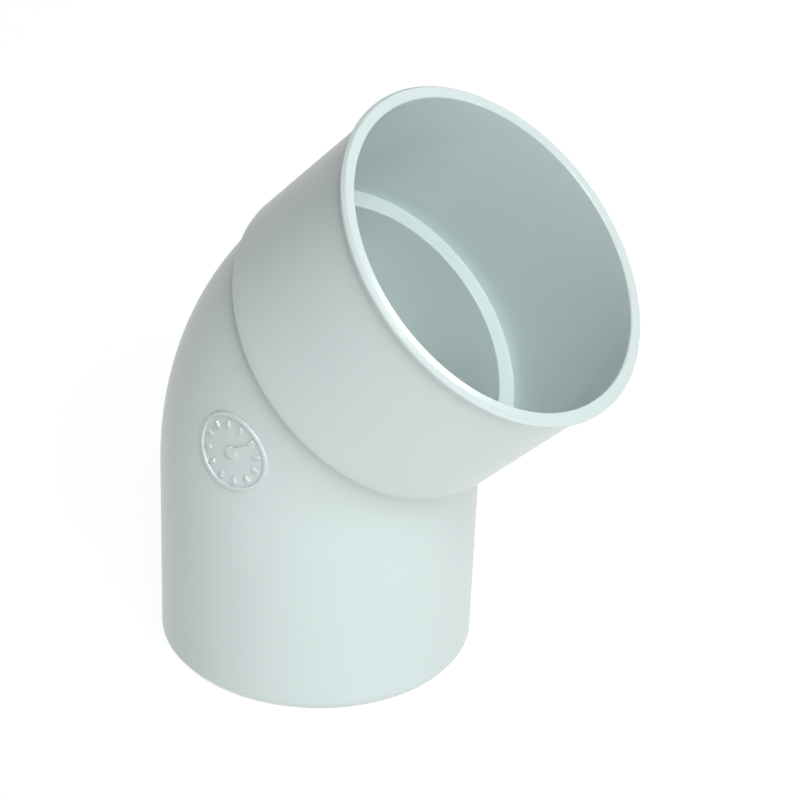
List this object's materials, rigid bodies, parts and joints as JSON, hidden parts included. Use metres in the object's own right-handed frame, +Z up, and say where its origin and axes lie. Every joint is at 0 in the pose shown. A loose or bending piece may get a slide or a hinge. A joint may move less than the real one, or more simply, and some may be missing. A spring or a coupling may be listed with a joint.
{
  "type": "pvc pipe elbow",
  "caption": "Rigid plastic elbow turning a round tube through 45 degrees, with a plain end below and a wider stepped socket above.",
  "frame": {"origin": "middle of the footprint, on the plane of the plain end's foot", "axes": "+Z up along the plain end's axis, +X the way the elbow bends, y = 0 its plane of symmetry"},
  "size_m": [0.094, 0.0684, 0.1185],
  "materials": {
    "pvc": "satin off-white moulded PVC"
  },
  "bodies": {
    "root": {"spigot": "pvc", "bend": "pvc", "stop_shoulder": "pvc", "socket": "pvc", "date_dial": "pvc"}
  },
  "joints": []
}
